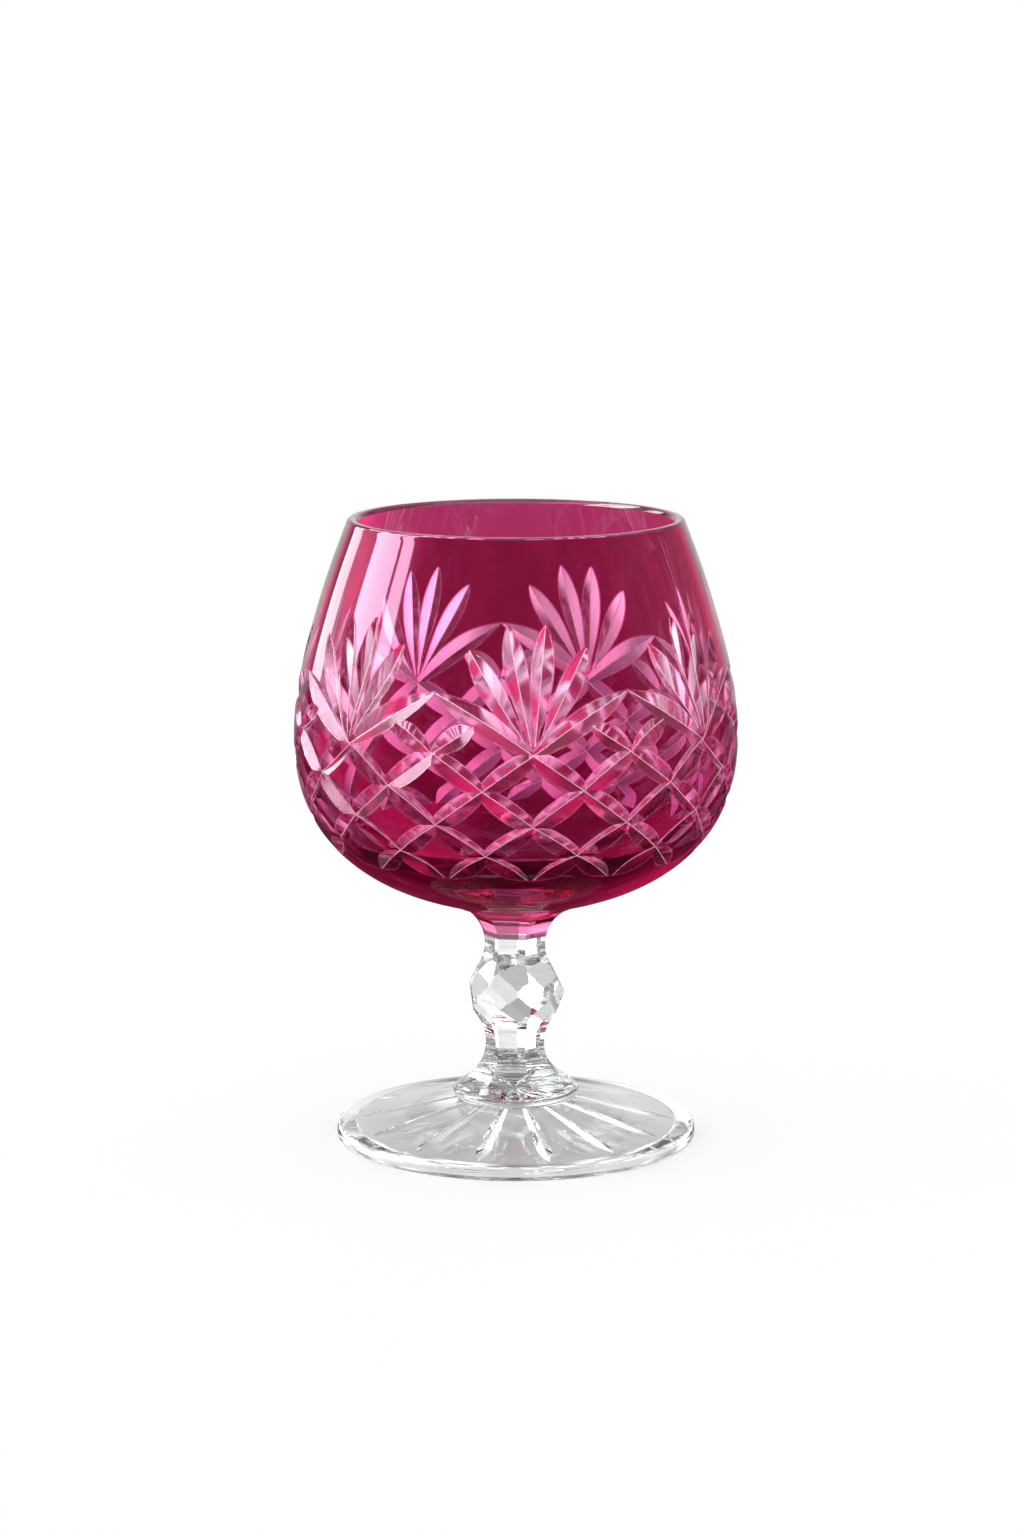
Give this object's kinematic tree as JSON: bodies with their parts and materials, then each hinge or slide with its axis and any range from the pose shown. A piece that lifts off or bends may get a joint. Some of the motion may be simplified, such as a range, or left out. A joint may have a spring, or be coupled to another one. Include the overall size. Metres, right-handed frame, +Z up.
{
  "type": "footed glass",
  "caption": "Balloon-bowled footed drinking glass: ruby overlay cut through to clear crystal in fans and a diamond lattice, on a fluted stem with a faceted knop and a star-cut foot.",
  "frame": {"origin": "centre of the foot's underside, on the surface the glass stands on", "axes": "+Z up along the axis of the stem and bowl; -Y is the side the picture was taken from, +X is to its right"},
  "size_m": [0.0898, 0.0897, 0.1276],
  "materials": {
    "ruby_glass": "polished ruby overlay glass",
    "bowl_crystal": "polished clear crystal",
    "stem_crystal": "polished clear crystal, flat cut",
    "foot_crystal": "polished clear crystal, star cut underneath"
  },
  "bodies": {
    "root": {"bowl_casing": "ruby_glass", "bowl_lining": "bowl_crystal", "stem": "stem_crystal", "foot": "foot_crystal"}
  },
  "joints": []
}
